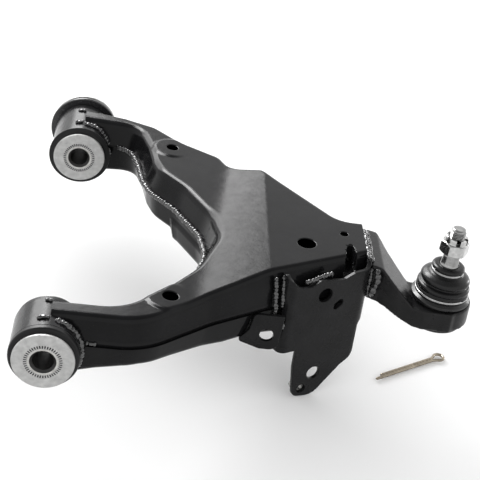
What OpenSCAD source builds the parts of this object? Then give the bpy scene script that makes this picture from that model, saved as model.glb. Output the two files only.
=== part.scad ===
// Lower suspension arm: a pressed two-leg wishbone with two rubber bushings on one
// pivot axis, a folded front bracket and a forged end that carries a ball joint.
// Frame: +Y runs along the pivot axis from the front bushing to the rear one, +X points
// outboard to the ball joint, +Z is up, square to the pressed deck. The origin is the
// centre of the front bushing. Everything is in millimetres.

/* [Pivot axis] */
// distance along the pivot axis from the front bushing's centre to the rear one's
bushing_gap = 371.5; // [340:0.5:400]
// outer radius of the steel tubes that hold the bushings
tube_r = 29.5; // [26:0.5:34]
// wall thickness of the tubes
tube_wall = 2.5; // [2:0.1:4]
// length of the front tube
front_tube = 40; // [34:1:50]
// length of the rear tube
rear_tube = 61; // [50:1:70]

/* [Bushings] */
// radius of the bolt's bore through each inner sleeve
bolt_bore_r = 9; // [7:0.5:11]
// outer radius of the inner sleeves
sleeve_r = 13; // [12:0.5:15]
// length of the front inner sleeve, from washer face to washer face
front_sleeve = 62; // [50:1:66]
// length of the rear inner sleeve, from washer face to washer face
rear_sleeve = 81; // [70:1:90]
// radius of the end washers
washer_r = 26.2; // [24:0.1:28]
// radius of the large washer at the back of the rear bushing
back_washer_r = 33.4; // [28:0.1:35]
// thickness of the end washers
washer_t = 3; // [2:0.5:4]
// number of bite teeth round each washer's bore
bite_teeth = 44; // [24:2:48]
// wall thickness of the outer sleeves pressed into the tubes
outer_sleeve_t = 1.5; // [1:0.1:2.5]
// running gap between a turning sleeve and the rubber round it
running_gap = 0.05; // [0.02:0.01:0.1]
// radius of the flange at the back of the rear outer sleeve
rear_flange_r = 35.2; // [32:0.1:37]

/* [Pressed shells] */
// sheet thickness of the two pressed shells
sheet = 3; // [2:0.1:4]
// height of the legs' top face above the pivot axis
leg_top = 33; // [30:0.5:36]
// height of the outboard deck above the pivot axis
deck_top = 42; // [36:0.5:46]
// height of the welded seam between the shells
seam_z = 9; // [4:0.5:14]
// depth of the lower shell under the legs
leg_bottom = -20.5; // [-26:0.5:-16]
// depth of the lower shell under the middle of the arm
deck_bottom = -30; // [-34:0.5:-24]
// lean of the upper shell's pressed walls from upright
upper_lean = 15; // [0:1:18]
// lean of the lower shell's pressed walls from upright
lower_lean = 8; // [0:1:9]
// where the shells end against the bracket's return plate
shell_end = 276; // [270:0.5:284]
// where the top starts to rise from the legs to the deck
rise_start = 146; // [130:1:160]
// where the deck is reached
rise_end = 187; // [170:1:200]

/* [Front bracket] */
// thickness of the bracket's folded plate
bracket_t = 4; // [3:0.5:5]
// angle of the bracket's face about the vertical, from square to the pivot axis
bracket_turn = 28.4; // [20:0.1:36]
// how far the bracket's face stands in front of the deck's front fold
bracket_reach = 17; // [12:0.5:22]

/* [Ball joint] */
// distance of the ball joint outboard of the pivot axis
ball_x = 348; // [320:1:370]
// distance of the ball joint behind the front bushing's centre
ball_y = 119; // [100:1:140]
// outboard lean of the stud at rest
stud_lean = 3; // [0:0.5:8]
// outer radius of the forged ring round the housing
ring_r = 29.5; // [28:0.5:32]
// radius of the ball
ball_r = 14; // [12:0.5:16]
// radius of the housing where it is pressed into the ring
housing_r = 25; // [23:0.5:27]
// radius of the stud's thread
thread_r = 7; // [6:0.5:8]
// width of the castle nut across its flats
nut_flats = 23.4; // [21:0.2:25]

/* [Loose pin] */
// thickness of each leg of the split pin
pin_wire = 1.9; // [1.5:0.1:2.4]
// length of the split pin from its longer leg's tip to its eye
pin_length = 83; // [36:1:90]
// outboard distance of the loose pin's tip
pin_x = 307.4; // [280:0.5:340]
// distance of the loose pin's tip behind the front bushing's centre
pin_y = 124.5; // [80:0.5:160]
// height of the loose pin's middle
pin_z = -94; // [-96:0.5:-60]
// direction of the loose pin about the vertical
pin_turn = 33.6; // [0:0.1:180]

/* [Node to draw] */

/* [Hidden] */
$fn = 72;
upper_rise = deck_top - seam_z + 2;
lower_drop = seam_z - deck_bottom + 2;
upper_draft = upper_rise * tan(upper_lean);
lower_draft = lower_drop * tan(lower_lean);
inner_tube_r = tube_r - tube_wall;
rubber_r = inner_tube_r - outer_sleeve_t;
rear_y = bushing_gap;
rear_tube_y = rear_y - 3;
ball_at = [ball_x, ball_y, 0];
bracket_root = [183, 78.6, 0];
pad_x = shell_end + bracket_t;
lap = 2;
// sharp outer corner of the bracket's right fold, and how far the return plate runs
bracket_corner = (pad_x - bracket_root[0] - bracket_reach * sin(bracket_turn)) / cos(bracket_turn);
return_x = 70 * sin(bracket_turn);
return_y = 70 * cos(bracket_turn);

// corners of the arm's outline seen from above, each as x, y and corner radius
outline = [
  [-4, -10, 0], [80, -10, 60], [136, 38, 60], [186, 71, 40], [300, 132.6, 0],
  [300, 189, 0], [258, 190, 20], [206, 254, 20], [188, 278, 14],
  [157, 284, 20], [146, 307, 20], [106, 332, 24], [78, 360, 24], [46, 374, 24],
  [-4, 386, 0], [-4, 352, 0], [52, 345, 20], [64, 296, 70], [76, 244, 60],
  [102, 212, 50], [126, 178, 60], [131, 140, 50], [119, 90, 60], [96, 58, 60],
  [58, 18, 40], [-4, 18, 0]
];

// ---- outline helpers ----
function unit(v) = v / norm(v);
function left_of(a, b) = let (d = unit(b - a)) [-d[1], d[0]];
function spot(c) = [c[0], c[1]];
function turns_left(a, b, c) = cross(b - a, c - b) > 0;

// moves every corner inward by t and adjusts its radius to match
function inset(list, t) = [
  for (i = [0:len(list) - 1])
    let (
      a = spot(list[(i + len(list) - 1) % len(list)]),
      b = spot(list[i]),
      c = spot(list[(i + 1) % len(list)]),
      m = left_of(a, b),
      n = left_of(b, c),
      p = b + t * (m + n) / (1 + m * n),
      rad = list[i][2],
      moved = turns_left(a, b, c) ? rad - t : rad + t
    )
    [p[0], p[1], rad == 0 ? 0 : max(moved, 0.5)]
];

// the points of one rounded corner between its two neighbours
function corner_points(a, b, c, rad) =
  rad == 0 ? [b] :
  let (
    u = unit(a - b),
    v = unit(c - b),
    half = acos(u * v) / 2,
    centre = b + unit(u + v) * rad / sin(half),
    start = b + u * rad / tan(half) - centre,
    way = turns_left(a, b, c) ? 1 : -1,
    first = atan2(start[1], start[0]),
    steps = max(1, round((180 - 2 * half) / 14 + 0.23))
  )
  [
    for (k = [0:steps])
      let (angle = first + way * (180 - 2 * half) * k / steps)
      centre + rad * [cos(angle), sin(angle)]
  ];

function rounded(list) = [
  for (i = [0:len(list) - 1])
    each corner_points(
      spot(list[(i + len(list) - 1) % len(list)]),
      spot(list[i]),
      spot(list[(i + 1) % len(list)]),
      list[i][2]
    )
];

// ---- shared shapes ----
// a round bar along the pivot axis, from y = from to y = to
module bar_y(r, from, to) {
  translate([0, from, 0]) rotate([-90, 0, 0]) cylinder(r = r, h = to - from);
}

module ring_y(outer, inner, from, to) {
  difference() {
    bar_y(outer, from, to);
    bar_y(inner, from - 1, to + 1);
  }
}

// turns a profile of radius against y round the pivot axis
module turned_y(points) {
  rotate([-90, 0, 0]) rotate_extrude() polygon(points);
}

// true when p lies inside the triangle a, b, c, whose corners run anticlockwise
function within(p, a, b, c) =
  cross(b - a, p - a) > 0 && cross(c - b, p - b) > 0 && cross(a - c, p - c) > 0;

// true when the corner at place k can be cut off without touching the rest of the ring
function is_ear(points, ring, k) = let (
    n = len(ring),
    a = points[ring[(k + n - 1) % n]],
    b = points[ring[k]],
    c = points[ring[(k + 1) % n]]
  )
  cross(b - a, c - b) > 0.001 && len([for (j = ring) if (within(points[j], a, b, c)) j]) == 0;

function next_ear(points, ring, k) =
  k >= len(ring) - 1 || is_ear(points, ring, k) ? k : next_ear(points, ring, k + 1);

// splits a ring of point numbers into triangles by cutting off one ear after another
function triangles(points, ring) =
  len(ring) < 4 ? [ring] :
  let (n = len(ring), k = next_ear(points, ring, 0))
  concat(
    [[ring[(k + n - 1) % n], ring[k], ring[(k + 1) % n]]],
    triangles(points, [for (i = [0:n - 1]) if (i != k) ring[i]])
  );

// a straight-sided tray shape: one outline at the foot and the same outline, moved
// inward, at the head
module drafted(foot_z, foot_inset, head_z, head_inset) {
  foot = rounded(inset(outline, foot_inset));
  head = rounded(inset(outline, head_inset));
  count = len(foot);
  cap = triangles(head, [for (k = [0:count - 1]) k]);
  polyhedron(
    points = concat(
      [for (p = foot) [p[0], p[1], foot_z]],
      [for (p = head) [p[0], p[1], head_z]]
    ),
    faces = concat(
      cap,
      [for (t = cap) [count + t[2], count + t[1], count + t[0]]],
      [
        for (k = [0:count - 1])
          [k, count + k, count + (k + 1) % count, (k + 1) % count]
      ]
    )
  );
}

// everything below the arm's top face, which steps up from the legs to the deck
module top_profile(drop) {
  translate([0, 420, 0]) rotate([90, 0, 0]) linear_extrude(460)
    polygon([
      [-60, -80], [-60, leg_top - drop], [rise_start, leg_top - drop],
      [rise_end, deck_top - drop], [400, deck_top - drop], [400, -80]
    ]);
}

// everything above the lower shell's floor: it is deep in the middle of the arm, shallow
// under both legs and rises to the outboard end
module bottom_profile(lift) {
  translate([-60, 0, 0]) rotate([90, 0, 90]) linear_extrude(460)
    polygon([
      [-60, 80], [-60, leg_bottom + lift], [66, leg_bottom + lift],
      [96, deck_bottom + lift], [222, deck_bottom + lift],
      [227, leg_bottom + lift], [420, leg_bottom + lift], [420, 80]
    ]);
}

module end_profile(lift) {
  translate([0, 420, 0]) rotate([90, 0, 0]) linear_extrude(460)
    polygon([
      [-60, 80], [-60, -80], [205, deck_bottom - 1 + lift], [290, -6 + lift],
      [400, -6 + lift], [400, 80]
    ]);
}

// what both shells are trimmed by: the two tubes and the flat outboard end
module shell_trim() {
  bar_y(tube_r, -60, 60);
  bar_y(tube_r, rear_y - 80, rear_y + 80);
  translate([shell_end, 60, -80]) cube([60, 200, 160]);
}

// ---- pressed shells ----
module upper_shell() {
  color([0.10, 0.10, 0.11])
  difference() {
    intersection() {
      drafted(seam_z, 0, seam_z + upper_rise, upper_draft);
      top_profile(0);
    }
    intersection() {
      drafted(seam_z - 1, sheet, seam_z + upper_rise, upper_draft + sheet);
      top_profile(sheet);
    }
    shell_trim();
    translate([99, 34.7, 0]) cylinder(r = 6.9, h = 80);
    translate([94, 311, 0]) cylinder(r = 5.7, h = 80);
    translate([220.5, 133, 0]) cylinder(r = 8.4, h = 80);
    translate([257, 157, 0]) cylinder(r = 3.6, h = 80);
    deck_pocket();
  }
}

// the cut-away front corner of the deck, open into the bracket
module deck_pocket() {
  translate([0, 0, deck_top - 17]) linear_extrude(25)
    polygon([
      [260.5, 147], [256, 114], [244, 99], [250, 84], [290, 98], [270, 107],
      [265, 125.5]
    ]);
}

module lower_shell() {
  color([0.09, 0.09, 0.10])
  difference() {
    intersection() {
      drafted(seam_z - lower_drop, lap + lower_draft, seam_z, lap);
      bottom_profile(0);
      end_profile(0);
    }
    intersection() {
      drafted(seam_z - lower_drop, lap + sheet + lower_draft, seam_z + 1, lap + sheet);
      bottom_profile(sheet);
      end_profile(sheet);
    }
    shell_trim();
  }
}

// ---- pivot tubes and bushings ----
module front_tube_ring() {
  color([0.11, 0.11, 0.12])
  ring_y(tube_r, inner_tube_r, -front_tube / 2, front_tube / 2);
}

module rear_tube_ring() {
  color([0.11, 0.11, 0.12])
  translate([0, rear_tube_y, 0])
    ring_y(tube_r, inner_tube_r, -rear_tube / 2, rear_tube / 2);
}

module front_outer_sleeve() {
  color([0.16, 0.16, 0.17])
  ring_y(inner_tube_r, rubber_r, -front_tube / 2, front_tube / 2);
}

module rear_outer_sleeve() {
  color([0.16, 0.16, 0.17])
  translate([0, rear_tube_y, 0]) {
    ring_y(inner_tube_r, rubber_r, -rear_tube / 2, rear_tube / 2 + 4);
    ring_y(rear_flange_r, inner_tube_r, rear_tube / 2, rear_tube / 2 + 4);
  }
}

// rubber between the sleeves, with a lip at each end that covers the tube's edge
module bushing_rubber(from, to, lip_front, lip_back, stop_front, stop_back) {
  turned_y([
    [sleeve_r + running_gap, stop_front], [lip_front - 3.3, stop_front],
    [lip_front, stop_front + 3.2], [lip_front, from], [rubber_r, from],
    [rubber_r, to], [lip_back, to], [lip_back, stop_back - 2.5],
    [lip_back - 2.5, stop_back], [sleeve_r + running_gap, stop_back]
  ]);
}

module front_rubber() {
  color([0.05, 0.05, 0.05])
  bushing_rubber(
    -front_tube / 2, front_tube / 2, 29.8, 28.5,
    -front_sleeve / 2 + washer_t + 0.3, front_sleeve / 2 - washer_t - 0.3
  );
}

module rear_rubber() {
  color([0.05, 0.05, 0.05])
  translate([0, rear_y, 0])
    bushing_rubber(
      -rear_tube / 2 - 3, rear_tube / 2 + 1, 31.4, 34,
      -rear_sleeve / 2 + washer_t + 0.3, rear_sleeve / 2 - washer_t - 0.3
    );
}

// an inner sleeve with a bevelled bore mouth at each end
module inner_sleeve(length) {
  mouth = bolt_bore_r + 2.3;
  turned_y([
    [mouth, -length / 2], [sleeve_r, -length / 2], [sleeve_r, length / 2],
    [mouth, length / 2], [bolt_bore_r, length / 2 - 2.3], [bolt_bore_r, -length / 2 + 2.3]
  ]);
}

module front_inner_sleeve() {
  color([0.62, 0.62, 0.62]) inner_sleeve(front_sleeve);
}

module rear_inner_sleeve() {
  color([0.62, 0.62, 0.62]) translate([0, rear_y, 0]) inner_sleeve(rear_sleeve);
}

// an end washer lying outside y = 0, with a ring of bite teeth on its outer face
module end_washer(r) {
  ring_y(r, sleeve_r, -washer_t, 0);
  for (k = [0:bite_teeth - 1])
    rotate([0, k * 360 / bite_teeth, 0])
      translate([sleeve_r + 0.7, -washer_t - 0.5, -0.5]) cube([2.4, 0.8, 1]);
}

module front_washer_outer() {
  color([0.80, 0.80, 0.79])
  translate([0, -front_sleeve / 2 + washer_t, 0]) end_washer(washer_r);
}

module front_washer_inner() {
  color([0.80, 0.80, 0.79])
  translate([0, front_sleeve / 2 - washer_t, 0]) mirror([0, 1, 0]) end_washer(25);
}

module rear_washer_outer() {
  color([0.80, 0.80, 0.79])
  translate([0, rear_y - rear_sleeve / 2 + washer_t, 0]) end_washer(washer_r);
}

module rear_washer_inner() {
  color([0.80, 0.80, 0.79])
  translate([0, rear_y + rear_sleeve / 2 - washer_t, 0])
    mirror([0, 1, 0]) end_washer(back_washer_r);
}

// ---- front bracket ----
// places a shape drawn in the bracket's own face: x along it, y up, z out of it
module on_bracket() {
  translate(bracket_root) rotate([0, 0, bracket_turn])
    translate([0, -bracket_reach + bracket_t, 0]) rotate([90, 0, 0]) children();
}

// the folded plate seen from above, in the bracket's own frame: left side, face and
// the return plate that runs back along the shells' flat end
bracket_fold = [
  [14, 20, 0], [14, 0, 8],
  [bracket_corner, 0, 12], [bracket_corner + return_x, return_y, 0]
];

module front_bracket() {
  color([0.12, 0.12, 0.13])
  difference() {
    intersection() {
      translate(bracket_root) rotate([0, 0, bracket_turn])
        translate([0, -bracket_reach, -110]) linear_extrude(160) fold_section();
      union() {
        on_bracket() translate([0, 0, -30]) linear_extrude(60) bracket_face();
        translate([268, 100, -20]) cube([40, 90, 58]);
      }
    }
    on_bracket() {
      translate([55, 15, -1]) cylinder(r = 7, h = 10);
      translate([57, -71, -1]) cylinder(r = 6.5, h = 10);
      translate([46.5, -87, -1]) cylinder(r = 4.4, h = 10);
      hull() {
        translate([68.6, 0.4, -1]) cylinder(r = 2.6, h = 10, $fn = 32);
        translate([73.4, 4.4, -1]) cylinder(r = 2.6, h = 10, $fn = 32);
      }
      side_relief();
    }
  }
}

// the folded strip: the fold line on its outer side and the same line one plate inside
module fold_section() {
  closed = concat(bracket_fold, [[bracket_corner + return_x - 20, return_y + 20, 0], [14, 60, 0]]);
  difference() {
    polygon(rounded(closed));
    polygon(rounded(inset(closed, bracket_t)));
    translate([-20, 20]) square([100, 60]);
    translate([bracket_corner + return_x, return_y]) rotate([0, 0, -bracket_turn])
      translate([-70, 0]) square([100, 80]);
    translate([74, 60]) square([20, 40]);
  }
}

module bracket_face() {
  polygon(rounded([
    [8, -41, 6], [33, -41, 0], [33, -60, 6], [37.5, -94, 8], [60, -97, 16],
    [86, -69, 10], [99, -60, 12], [99, 34, 0], [84, 33, 4], [73, 28, 8],
    [48, 32, 6], [40, 27, 8], [26, 27, 10], [14, 37, 4], [8, 46, 0]
  ]));
}

// trims the bracket's left side to the leaning walls of the shells
module side_relief() {
  translate([10, 0, 0]) rotate([0, 90, 0]) rotate([0, 0, 90]) linear_extrude(12)
    polygon([
      [42, -13.2], [9.5, -5], [-18, -8.4], [-22, -9], [-24, -14], [-24, -40], [60, -40],
      [60, -13.2]
    ]);
}

module tie_tab() {
  color([0.12, 0.12, 0.13])
  translate([0, 67, 0]) rotate([90, 0, 0])
    difference() {
      linear_extrude(bracket_t)
        polygon(rounded([[171, -24, 6], [200, -31, 9], [203, 6, 0], [171, 6, 0]]));
      translate([189, -16, -1]) cylinder(r = 6.3, h = 10);
    }
}

// a nut welded behind the bracket's lowest hole
module weld_nut() {
  color([0.55, 0.55, 0.55])
  on_bracket() translate([46.5, -87, -7])
    difference() {
      cylinder(r = 7.2, h = 7, $fn = 6);
      translate([0, 0, -1]) cylinder(r = 4, h = 9);
    }
}

// ---- forged end ----
module forged_arm() {
  color([0.12, 0.12, 0.13])
  difference() {
    union() {
      intersection() {
        translate([0, 0, -40]) linear_extrude(90)
          polygon(rounded([
            [pad_x, 118, 3], [290, 115, 8], [309, 99, 24], [330, 90, 12],
            [356, 88.5, 3], [372, 103, 10], [377, 119, 0], [348, 148.4, 0],
            [322, 137, 14], [301, 164, 20], [292, 184, 8], [pad_x, 184, 3]
          ]));
        translate([0, 250, 0]) rotate([90, 0, 0]) linear_extrude(200)
          polygon([
            [pad_x - 1, 0], [pad_x - 1, 35], [292, 33], [321, 8], [390, 8],
            [390, -11], [322, -11], [298, -3]
          ]);
      }
      translate([ball_x, ball_y, -11]) cylinder(r = ring_r, h = 19);
    }
    in_ball_frame() translate([0, 0, -40]) cylinder(r = housing_r, h = 80);
  }
}

// ---- ball joint ----
// places a shape at the ball's centre with +Z along the stud
module in_ball_frame() {
  translate(ball_at) rotate([0, stud_lean, 0]) children();
}

module ball_housing() {
  color([0.14, 0.14, 0.15])
  in_ball_frame() rotate_extrude()
    polygon([
      [housing_r, -16], [housing_r, 9], [27.4, 9], [27.4, 12], [24.4, 14],
      [22.8, 14], [22.8, 18], [16, 18], [16, 14], [18, 9], [18, -11], [22, -11],
      [22, -16]
    ]);
}

module bearing_liner() {
  color([0.85, 0.84, 0.80])
  in_ball_frame() difference() {
    translate([0, 0, -8]) cylinder(r = 18, h = 16.5);
    sphere(r = ball_r + running_gap);
    translate([0, 0, -20]) cylinder(r = 9, h = 20);
    cylinder(r1 = 9.5, r2 = 13, h = 9);
  }
}

module pressure_seat() {
  color([0.6, 0.6, 0.6])
  in_ball_frame() translate([0, 0, -10.9]) difference() {
    cylinder(r = 17.6, h = 2.7);
    translate([0, 0, -1]) cylinder(r = 11.6, h = 5);
  }
}

module closing_plate() {
  color([0.15, 0.15, 0.16])
  in_ball_frame() translate([0, 0, -16]) cylinder(r = 21.9, h = 1.8);
}

module dust_boot() {
  color([0.05, 0.05, 0.055])
  in_ball_frame() rotate_extrude()
    polygon([
      [22.9, 14.2], [24.6, 14.2], [24.6, 15.4], [24, 15.4], [24, 17.6], [24.8, 18.4],
      [25, 22], [23.6, 27], [20.6, 31.2], [16.5, 34], [14.8, 36], [14.8, 37.4],
      [13.6, 37.4], [13.6, 39.6], [14.6, 39.8], [14.6, 42.4], [11.5, 44.6],
      [9.1, 44.6], [9.1, 36], [14, 31.5], [18.4, 28.6], [21, 25], [22.2, 21.5],
      [22.2, 18.6], [22.9, 18.2]
    ]);
}

module lower_boot_clip() {
  color([0.18, 0.18, 0.19])
  in_ball_frame() translate([0, 0, 15.6]) difference() {
    cylinder(r = 25.4, h = 1.8);
    translate([0, 0, -1]) cylinder(r = 24.05, h = 4);
  }
}

module upper_boot_clip() {
  color([0.55, 0.55, 0.56])
  in_ball_frame() translate([0, 0, 37.6]) difference() {
    cylinder(r = 15.2, h = 1.8);
    translate([0, 0, -1]) cylinder(r = 13.7, h = 4);
  }
}

module ball_stud() {
  color([0.75, 0.75, 0.76])
  in_ball_frame() difference() {
    union() {
      sphere(r = ball_r);
      translate([0, 0, 8]) cylinder(r = 7, h = 26);
      translate([0, 0, 30]) cylinder(r1 = 7, r2 = 9, h = 6);
      translate([0, 0, 36]) cylinder(r = 9, h = 9);
      translate([0, 0, 45]) cylinder(r1 = 8.4, r2 = 7.2, h = 10);
      translate([0, 0, 55]) cylinder(r = thread_r, h = 24.5);
      translate([0, 0, 79.5]) cylinder(r1 = thread_r, r2 = 5.6, h = 2);
    }
    translate([0, 0, 71]) rotate([90, 0, 0]) cylinder(r = 2, h = 30, center = true);
  }
}

module castle_nut() {
  color([0.80, 0.80, 0.81])
  in_ball_frame() translate([0, 0, 57]) difference() {
    union() {
      cylinder(r = nut_flats / sqrt(3), h = 11, $fn = 6);
      cylinder(r = nut_flats / 2 - 1.2, h = 16.5);
    }
    translate([0, 0, -1]) cylinder(r = thread_r + running_gap, h = 20);
    for (k = [0:2])
      rotate([0, 0, k * 60 + 30]) translate([-20, -2, 11.4]) cube([40, 4, 8]);
  }
}

// ---- split pin, loose beside the arm ----
module split_pin() {
  leg_r = pin_wire / 2;
  color([0.50, 0.46, 0.40])
  translate([pin_x, pin_y, pin_z]) rotate([0, 0, pin_turn]) {
    for (side = [-1, 1])
      translate([side < 0 ? 0 : 6, side * leg_r, 0]) rotate([0, 90, 0])
        cylinder(r = leg_r * 0.96, h = pin_length - (side < 0 ? 0 : 6));
    translate([pin_length + 3.2, 0, 0])
      rotate_extrude() translate([3.6, 0]) circle(r = leg_r * 0.96);
  }
}

// ---- weld beads ----
// a bead that follows the tube's outside in a plane of constant y
module tube_bead(y, from, to) {
  translate([0, y, 0]) rotate([90, 0, 0])
    rotate([0, 0, from]) rotate_extrude(angle = to - from)
      translate([tube_r + 0.6, 0]) circle(r = 1.8, $fn = 16);
}

// a straight bead between two points
module bead(a, b, r) {
  way = b - a;
  translate(a)
    rotate([0, acos(way[2] / norm(way)), atan2(way[1], way[0])]) {
      cylinder(r = r, h = norm(way), $fn = 16);
      sphere(r = r, $fn = 16);
      translate([0, 0, norm(way)]) sphere(r = r, $fn = 16);
    }
}

module front_tube_welds() {
  color([0.13, 0.13, 0.14]) {
    tube_bead(-11.4, -38, 98);
    tube_bead(19, -38, 60);
  }
}

module rear_tube_welds() {
  color([0.13, 0.13, 0.14]) {
    tube_bead(351.6, -38, 98);
    tube_bead(387, -38, 60);
  }
}

module bracket_welds() {
  color([0.13, 0.13, 0.14]) {
    bead([191, 76, 37], [194, 70, 8], 2);
    bead([198, 80, 37], [200, 74, 8], 2);
    bead([218, 84, 29], [244, 99, 34], 2);
    bead([277, 119, 40], [277, 172, 40], 1.8);
  }
}

module forging_welds() {
  color([0.13, 0.13, 0.14]) {
    bead([281, 122, 36], [281, 176, 36], 1.8);
    bead([281, 116.6, 32], [281, 116.6, 2], 2);
  }
}

// the bead along the inner side of the rear leg's seam
module seam_welds() {
  color([0.13, 0.13, 0.14])
  intersection() {
    translate([0, 0, seam_z - 3.6]) linear_extrude(3.5)
      difference() {
        polygon(rounded(inset(outline, 0.3)));
        polygon(rounded(inset(outline, 2)));
      }
    translate([40, 120, -40]) cube([96, 226, 80]);
  }
}

upper_shell();
lower_shell();
front_tube_ring();
rear_tube_ring();
front_outer_sleeve();
rear_outer_sleeve();
front_rubber();
rear_rubber();
front_inner_sleeve();
rear_inner_sleeve();
front_washer_outer();
front_washer_inner();
rear_washer_outer();
rear_washer_inner();
front_bracket();
tie_tab();
weld_nut();
forged_arm();
ball_housing();
bearing_liner();
pressure_seat();
closing_plate();
dust_boot();
lower_boot_clip();
upper_boot_clip();
ball_stud();
castle_nut();
split_pin();
front_tube_welds();
rear_tube_welds();
bracket_welds();
forging_welds();
seam_welds();
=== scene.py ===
import math

import bmesh
import bpy
import numpy as np
from mathutils import Matrix, Vector
from mathutils.geometry import delaunay_2d_cdt


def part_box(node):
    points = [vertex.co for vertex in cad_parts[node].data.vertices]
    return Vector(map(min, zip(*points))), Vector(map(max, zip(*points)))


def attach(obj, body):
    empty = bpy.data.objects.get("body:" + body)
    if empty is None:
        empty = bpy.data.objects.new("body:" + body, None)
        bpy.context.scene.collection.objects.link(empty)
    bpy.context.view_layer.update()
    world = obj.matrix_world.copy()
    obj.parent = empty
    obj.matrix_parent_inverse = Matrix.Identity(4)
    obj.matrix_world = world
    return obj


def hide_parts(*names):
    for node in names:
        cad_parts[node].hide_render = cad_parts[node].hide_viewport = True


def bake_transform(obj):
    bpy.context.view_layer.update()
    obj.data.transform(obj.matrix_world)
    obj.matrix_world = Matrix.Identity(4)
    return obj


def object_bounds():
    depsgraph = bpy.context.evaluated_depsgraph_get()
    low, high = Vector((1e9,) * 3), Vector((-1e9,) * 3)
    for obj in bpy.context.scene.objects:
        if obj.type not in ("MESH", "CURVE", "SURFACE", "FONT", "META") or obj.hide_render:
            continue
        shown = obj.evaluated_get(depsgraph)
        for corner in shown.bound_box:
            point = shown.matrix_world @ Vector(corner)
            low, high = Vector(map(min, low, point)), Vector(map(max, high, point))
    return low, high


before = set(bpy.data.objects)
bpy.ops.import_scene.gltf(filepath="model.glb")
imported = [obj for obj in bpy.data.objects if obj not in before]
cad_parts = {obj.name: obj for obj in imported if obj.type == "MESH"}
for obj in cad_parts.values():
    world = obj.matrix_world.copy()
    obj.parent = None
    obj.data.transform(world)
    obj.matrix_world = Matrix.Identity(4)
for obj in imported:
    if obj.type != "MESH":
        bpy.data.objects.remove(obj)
cad_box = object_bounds()
MM = 0.001


def box_mm(node):
    low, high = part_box(node)
    return np.array(low) / MM, np.array(high) / MM


def middle_and_half(low, high):
    """Where a box's middle lies along the pivot axis, and half its length there."""
    return (low[1] + high[1]) / 2, (high[1] - low[1]) / 2


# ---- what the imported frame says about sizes, in millimetres ----
TUBE_R = box_mm("front_tube_ring")[1][2]
SLEEVE_R = box_mm("front_inner_sleeve")[1][2]
SHELL_END = box_mm("upper_shell")[1][0]
DECK_TOP = box_mm("upper_shell")[1][2]
SEAM_Z = box_mm("upper_shell")[0][2]
DECK_BOTTOM = box_mm("lower_shell")[0][2]
# what the boxes don't tell
LEG_TOP = 33.0
LEG_BOTTOM = -20.5
SHEET = 3.0
BALL_AT = (348.0, 119.0, 0.0)
STUD_LEAN = math.radians(3)

# the arm's outline seen from above: x, y and corner radius, going round to the left
OUTLINE = [
    (-4, -10, 0), (80, -10, 60), (136, 38, 60), (186, 71, 40), (300, 132.6, 0),
    (300, 189, 0), (258, 190, 20), (206, 254, 20), (188, 278, 14), (157, 284, 20),
    (146, 307, 20), (106, 332, 24), (78, 360, 24), (46, 374, 24), (-4, 386, 0),
    (-4, 352, 0), (52, 345, 20), (62, 312, 60), (68, 279, 60), (76, 257, 50),
    (101, 228, 60), (126, 182, 60), (132, 146, 60), (120, 93, 60), (97, 61, 60),
    (58, 18, 40), (-4, 18, 0),
]


# ---- flat geometry ----
def unit(v):
    return v / np.linalg.norm(v)


def rounded(corners, step=2.0):
    """Points of a closed line through corners (x, y, radius), each corner an arc."""
    out = []
    count = len(corners)
    for i in range(count):
        a, b, c = (np.array(corners[k % count][:2], float) for k in (i - 1, i, i + 1))
        radius = corners[i][2]
        if radius <= 0:
            out.append(b)
            continue
        u, v = unit(a - b), unit(c - b)
        half = math.acos(np.clip(u @ v, -1, 1)) / 2
        centre = b + unit(u + v) * radius / math.sin(half)
        start = b + u * radius / math.tan(half) - centre
        way = 1 if np.cross(b - a, c - b) > 0 else -1
        sweep = math.pi - 2 * half
        steps = max(2, math.ceil(radius * sweep / step), math.ceil(sweep / 0.3))
        first = math.atan2(start[1], start[0])
        for k in range(steps + 1):
            angle = first + way * sweep * k / steps
            out.append(centre + radius * np.array([math.cos(angle), math.sin(angle)]))
    return np.array(out)


def resample(points, step, closed=False):
    """The same line with points about step apart; corners stay where they are."""
    points = np.array(points, float)
    ends = np.vstack([points, points[:1]]) if closed else points
    out = []
    for a, b in zip(ends[:-1], ends[1:]):
        count = max(1, int(round(np.linalg.norm(b - a) / step)))
        out.extend(a + (b - a) * k / count for k in range(count))
    if not closed:
        out.append(ends[-1])
    return np.array(out)


def left_normals(points, closed):
    if closed:
        before, after = np.roll(points, 1, 0), np.roll(points, -1, 0)
    else:
        before = np.vstack([points[:1], points[:-1]])
        after = np.vstack([points[1:], points[-1:]])
    way = after - before
    way /= np.maximum(np.linalg.norm(way, axis=1, keepdims=True), 1e-9)
    return np.column_stack([-way[:, 1], way[:, 0]])


def distance_to(points, lines):
    """Distance of each point to the nearest of several open lines."""
    best = np.full(len(points), 1e9)
    for line in lines:
        a, b = line[:-1], line[1:]
        way = b - a
        size = np.maximum((way * way).sum(1), 1e-12)
        for first in range(0, len(points), 4000):
            p = points[first : first + 4000]
            rel = p[:, None, :] - a[None]
            t = np.clip((rel * way[None]).sum(2) / size[None], 0, 1)
            gap = rel - t[..., None] * way[None]
            near = np.sqrt((gap * gap).sum(2).min(1))
            best[first : first + 4000] = np.minimum(best[first : first + 4000], near)
    return best


def inside(points, loop):
    """Which points lie inside a closed loop."""
    result = np.zeros(len(points), bool)
    for a, b in zip(loop, np.roll(loop, -1, 0)):
        crosses = (a[1] > points[:, 1]) != (b[1] > points[:, 1])
        if b[1] != a[1]:
            x = (b[0] - a[0]) * (points[:, 1] - a[1]) / (b[1] - a[1]) + a[0]
            result ^= crosses & (points[:, 0] < x)
    return result


def circle(x, y, r, step=1.0):
    turn = full_turn(max(24, int(2 * math.pi * r / step)))
    return np.column_stack([x + r * np.cos(turn), y + r * np.sin(turn)])


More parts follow.
